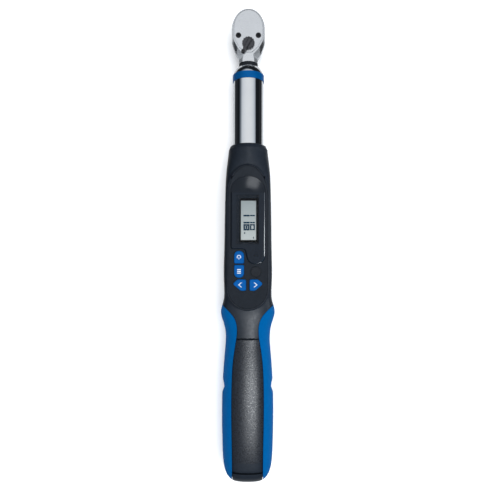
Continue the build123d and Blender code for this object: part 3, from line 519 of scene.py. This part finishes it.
def chevron(centre, side, reach, height, stroke):
    """An angle bracket that points to one side, as one outline."""
    x, y = centre
    tip, back = x + side * reach / 2, x - side * (reach / 2 - stroke)
    inward = -side * stroke
    outer = [(back, y + height / 2), (tip, y), (back, y - height / 2)]
    return outer + [(px + inward, py) for px, py in reversed(outer)]


# ---- Display ----

SEGMENTS = {"0": "abcdef", "1": "bc", "8": "abcdefg"}
SEGMENT_GAP = 0.1 * MM
INK_THICKNESS = 0.04 * MM
PITCH = 6.0 * MM  # from figure to figure
FIRST_FIGURE = 8.1 * MM  # from the glass's front edge to the first figure
BIG_X, SMALL_X = 2.2 * MM, 7.8 * MM  # from the glass's left edge to each row's foot
BIG_SIZE = (5.4 * MM, 5.2 * MM, 1.4 * MM)  # width, height and stroke of a figure
SMALL_SIZE = (5.2 * MM, 4.2 * MM, 1.15 * MM)
DOT_X, DOT_GAP, DOT_SIZE = 2.6 * MM, 1.6 * MM, 1.2 * MM
TICK_X, TICK_PITCHES, TICK_LENGTH, TICK_WIDTH = 10.8 * MM, 3.8, 1.6 * MM, 0.7 * MM


def digit(figure, corner, width, height, stroke):
    """Seven-segment figure whose top is on the right and which reads towards the tail."""
    x, y = corner
    half = stroke / 2
    foot, waist, crown = x + half, x + height / 2, x + height - half
    left, right = y - half, y - width + half
    gap = SEGMENT_GAP / 2
    between = (left - half - gap, right + half + gap)
    ends = {
        "a": ((crown, between[0]), (crown, between[1])),
        "b": ((waist + gap, right), (x + height, right)),
        "c": ((x, right), (waist - gap, right)),
        "d": ((foot, between[0]), (foot, between[1])),
        "e": ((x, left), (waist - gap, left)),
        "f": ((waist + gap, left), (x + height, left)),
        "g": ((waist, between[0]), (waist, between[1])),
    }
    return [bar(*ends[name], stroke) for name in SEGMENTS[figure]]


def figures(text, x, start, size):
    """The strokes of a row of figures that runs from start towards the tail."""
    strokes = []
    for i, figure in enumerate(text):
        strokes += digit(figure, (x, start - i * PITCH), *size)
    return strokes


def add_display():
    """A row of large figures with a dot, and a row of small ones with a tick."""
    ink = Look("lcd_ink", (0.002, 0.028, 0.06), rough=0.5, Specular_IOR_Level=0.1)
    ink.vary(scale=1200, amount=0.15)
    ink.patchy(scale=900, spread=0.05)
    low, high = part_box("lcd_glass")
    top = high.z
    start = high.y - FIRST_FIGURE
    bold = figures("118", low.x + BIG_X, start, BIG_SIZE)
    dot = (low.x + DOT_X, start - 3 * PITCH - DOT_GAP)
    bold.append(bar(dot, (dot[0] + DOT_SIZE, dot[1]), DOT_SIZE))
    marks("lcd_main_figures", bold, top, top + INK_THICKNESS, ink, "wrench")
    fine = figures("110", low.x + SMALL_X, start, SMALL_SIZE)
    tick = (low.x + TICK_X, start - TICK_PITCHES * PITCH)
    fine.append(bar(tick, (tick[0], tick[1] - TICK_LENGTH), TICK_WIDTH))
    marks("lcd_small_figures", fine, top, top + INK_THICKNESS, ink, "wrench")


# ---- Key symbols ----

PRINT_THICKNESS = 0.05 * MM
POWER_SHIFT = 0.1 * MM  # of the power symbol, off the key's middle
POWER_RING = {"radius": 1.55 * MM, "width": 0.62 * MM, "start": radians(-38), "sweep": radians(256)}
STEM_FAR, STEM_NEAR, STEM_WIDTH = 1.9 * MM, 0.3 * MM, 0.6 * MM
LIST_HALF_LENGTH, LIST_PITCH, LIST_WIDTH = 1.6, 1.5, 0.8 * MM
BRACKET = {"reach": 3.4 * MM, "height": 4.0 * MM, "stroke": 1.0 * MM}
BRACKET_SHIFT = 0.2 * MM


def key_top(node):
    """The middle of a key's top face."""
    low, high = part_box(node)
    return (low.x + high.x) / 2, (low.y + high.y) / 2, high.z


def add_key_marks():
    """White printed symbols: power ring, list, and two angle brackets."""
    white = Look("key_print", (0.78, 0.82, 0.86), rough=0.4)
    white.vary(scale=1500, amount=0.05)
    white.patchy(scale=900, spread=0.05)

    def printed(name, outlines, base, body):
        marks(name, outlines, base, base + PRINT_THICKNESS, white, body)

    x, y, z = key_top("key_power")
    cx, cy = x - POWER_SHIFT, y + POWER_SHIFT
    ring = arc_stroke((cx, cy), **POWER_RING)
    stem = bar((cx, cy - STEM_FAR), (cx, cy - STEM_NEAR), STEM_WIDTH)
    printed("power_mark", [ring, stem], z, "power_button")
    x, y, z = key_top("key_unit")
    half = LIST_HALF_LENGTH * MM
    rows = [y + row * LIST_PITCH * MM for row in (-1, 0, 1)]
    bars = [bar((x - half, row), (x + half, row), LIST_WIDTH) for row in rows]
    printed("unit_mark", bars, z, "unit_button")
    for node, body, side in (("key_down", "down_button", -1), ("key_up", "up_button", 1)):
        x, y, z = key_top(node)
        spot = (x - side * BRACKET_SHIFT, y + BRACKET_SHIFT)
        name = node.replace("key", "mark")
        printed(name, [chevron(spot, side, **BRACKET)], z, body)


def main():
    bpy.context.scene.view_settings.view_transform = "Standard"
    add_camera()
    add_world()
    add_lamps()
    paint_nodes()
    add_display()
    add_key_marks()


main()
